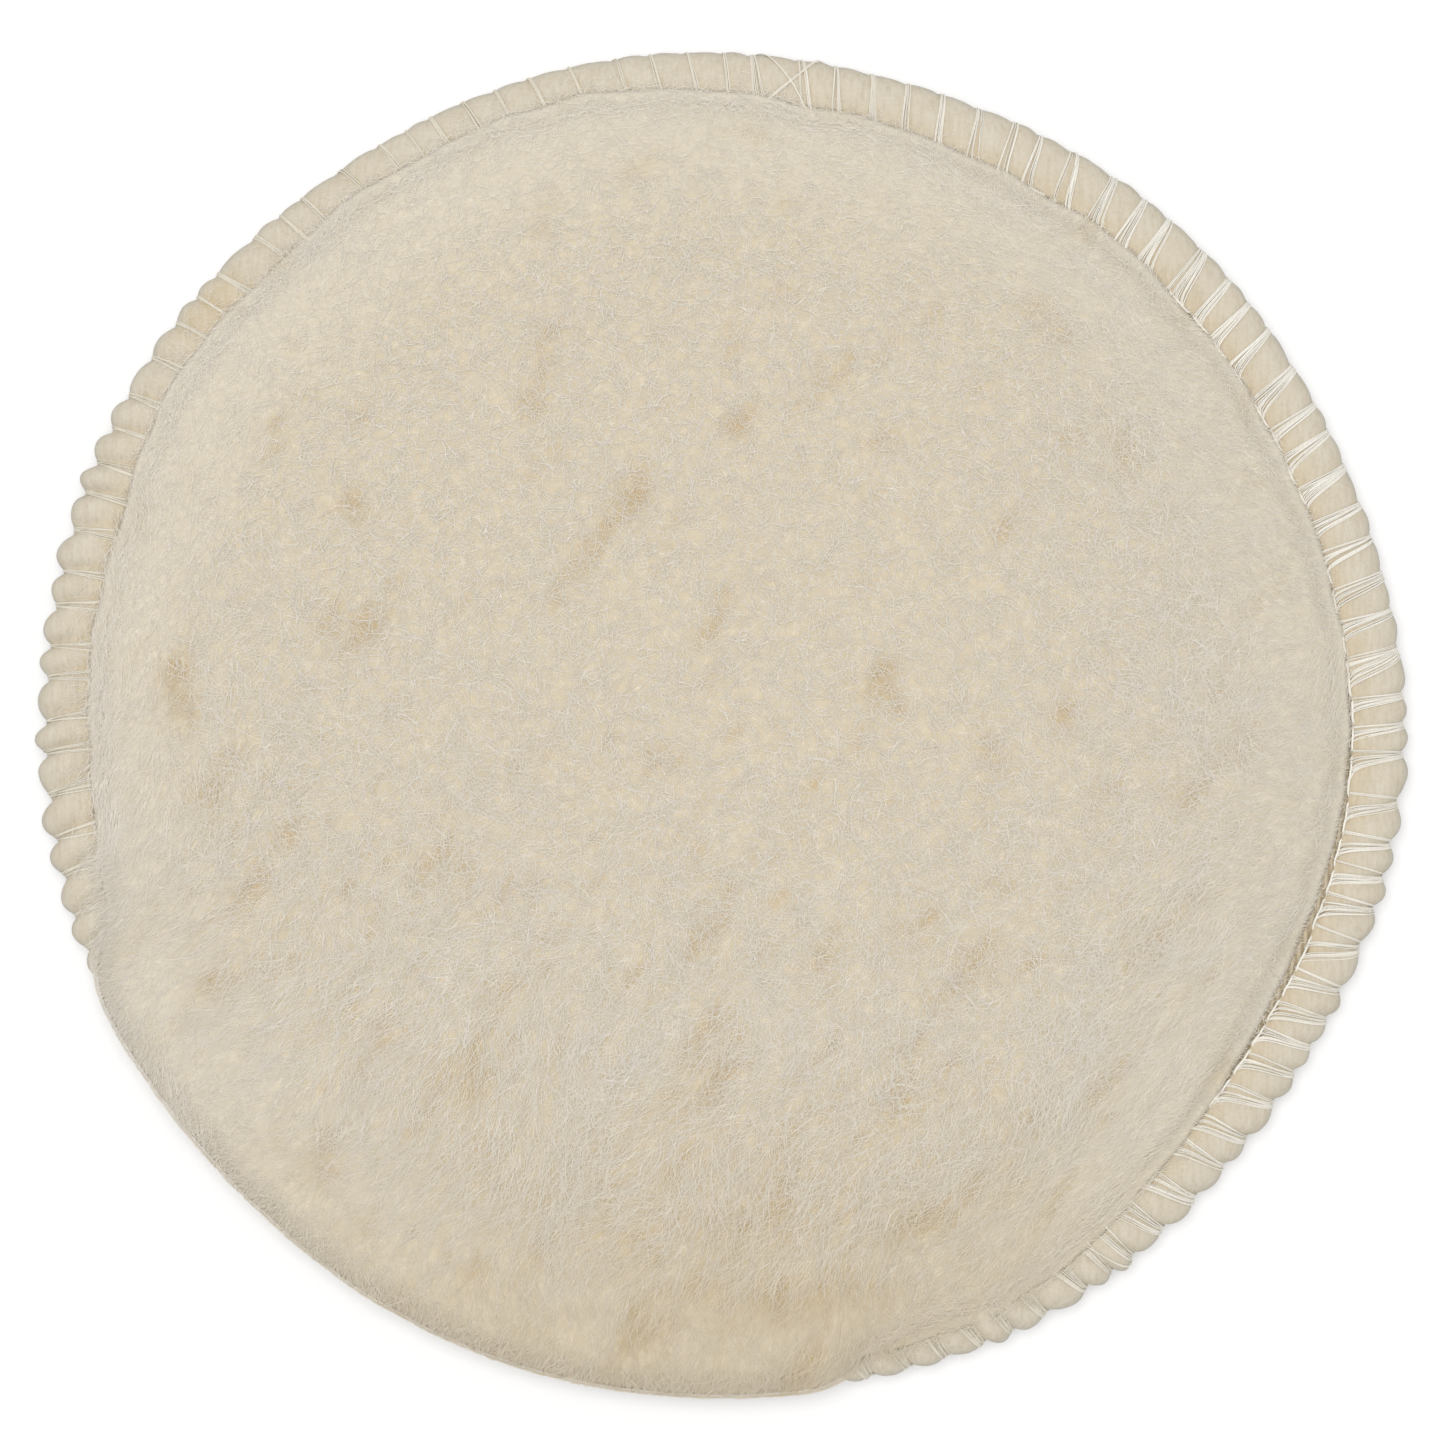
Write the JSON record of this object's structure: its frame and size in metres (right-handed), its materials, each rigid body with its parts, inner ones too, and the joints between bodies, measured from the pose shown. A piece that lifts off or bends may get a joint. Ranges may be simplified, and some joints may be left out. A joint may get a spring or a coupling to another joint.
{
  "type": "polishing pad",
  "caption": "Round lambswool polishing pad with a foam cushion, a touch-fastener loop back and an overlocked rolled rim.",
  "frame": {"origin": "centre of the loop face, which is the lowest plane of the pad", "axes": "+Z out of the wool face, square to the loop face; +X and +Y in the plane of the loop face, +X near the long way across the slightly oval outline"},
  "size_m": [0.1528, 0.1497, 0.0175],
  "materials": {
    "wool": "soft cream wool fibre, matt",
    "ground_cloth": "knitted, matt",
    "foam": "open-cell foam, matt",
    "backing": "fine ribbed knit with a short nap, matt",
    "loops": "brushed loop pile, matt",
    "thread": "spun polyester thread, slight sheen"
  },
  "bodies": {
    "root": {"wool_pile": "wool", "pile_ground_cloth": "ground_cloth", "cushion_foam": "foam", "backing_cloth": "backing", "loop_nap": "loops", "needle_thread": "thread", "upper_looper_thread": "thread", "lower_looper_thread": "thread"}
  },
  "joints": []
}
